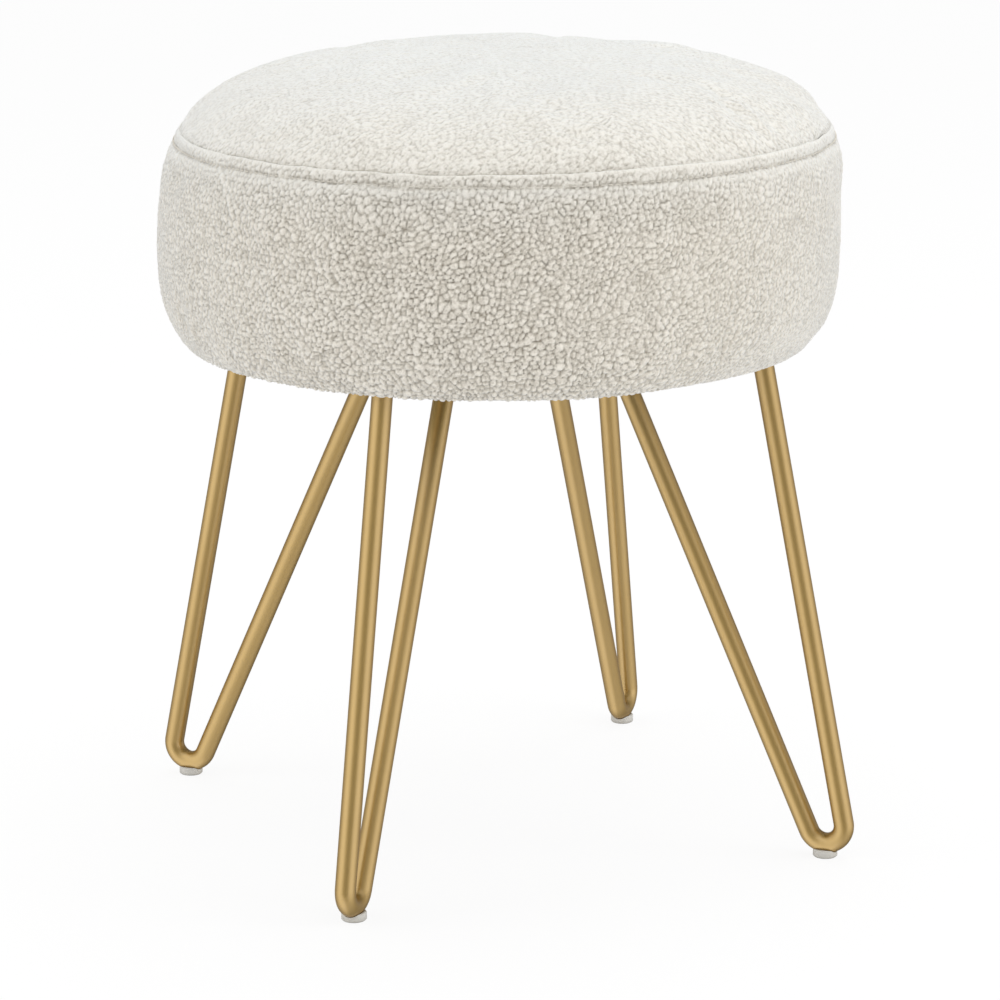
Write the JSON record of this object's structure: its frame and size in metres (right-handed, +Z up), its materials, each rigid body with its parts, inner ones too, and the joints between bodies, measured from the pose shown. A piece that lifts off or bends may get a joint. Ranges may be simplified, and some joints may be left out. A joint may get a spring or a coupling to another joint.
{
  "type": "round padded stool",
  "caption": "Round padded stool with a crowned seat in off-white looped pile, a lapped shoulder seam and splayed gold hairpin legs on small pads.",
  "frame": {"origin": "on the floor, under the middle of the seat", "axes": "+Z up along the seat's axis; the legs lie in the upright planes of X and Y, with the front leg at -Y"},
  "size_m": [0.454, 0.454, 0.468],
  "materials": {
    "looped_pile": "matte looped pile",
    "gold_coat": "satin gold powder coat",
    "glide_plastic": "satin",
    "plywood": "raw sanded plywood",
    "foam": "open-cell polyurethane foam",
    "wadding": "polyester fibre",
    "dust_sheet": "non-woven sheet",
    "zinc_steel": "zinc plated"
  },
  "bodies": {
    "root": {"seat_board": "plywood", "foam_core": "foam", "wadding_wrap": "wadding", "cover_top": "looped_pile", "cover_side": "looped_pile", "dust_cover": "dust_sheet", "leg_rod_front": "gold_coat", "leg_plate_front": "gold_coat", "foot_glide_front": "glide_plastic", "bolt_front_1": "zinc_steel", "washer_front_1": "zinc_steel", "tee_nut_front_1": "zinc_steel", "bolt_front_2": "zinc_steel", "washer_front_2": "zinc_steel", "tee_nut_front_2": "zinc_steel", "bolt_front_3": "zinc_steel", "washer_front_3": "zinc_steel", "tee_nut_front_3": "zinc_steel", "leg_rod_right": "gold_coat", "leg_plate_right": "gold_coat", "foot_glide_right": "glide_plastic", "bolt_right_1": "zinc_steel", "washer_right_1": "zinc_steel", "tee_nut_right_1": "zinc_steel", "bolt_right_2": "zinc_steel", "washer_right_2": "zinc_steel", "tee_nut_right_2": "zinc_steel", "bolt_right_3": "zinc_steel", "washer_right_3": "zinc_steel", "tee_nut_right_3": "zinc_steel", "leg_rod_rear": "gold_coat", "leg_plate_rear": "gold_coat", "foot_glide_rear": "glide_plastic", "bolt_rear_1": "zinc_steel", "washer_rear_1": "zinc_steel", "tee_nut_rear_1": "zinc_steel", "bolt_rear_2": "zinc_steel", "washer_rear_2": "zinc_steel", "tee_nut_rear_2": "zinc_steel", "bolt_rear_3": "zinc_steel", "washer_rear_3": "zinc_steel", "tee_nut_rear_3": "zinc_steel", "leg_rod_left": "gold_coat", "leg_plate_left": "gold_coat", "foot_glide_left": "glide_plastic", "bolt_left_1": "zinc_steel", "washer_left_1": "zinc_steel", "tee_nut_left_1": "zinc_steel", "bolt_left_2": "zinc_steel", "washer_left_2": "zinc_steel", "tee_nut_left_2": "zinc_steel", "bolt_left_3": "zinc_steel", "washer_left_3": "zinc_steel", "tee_nut_left_3": "zinc_steel"}
  },
  "joints": []
}
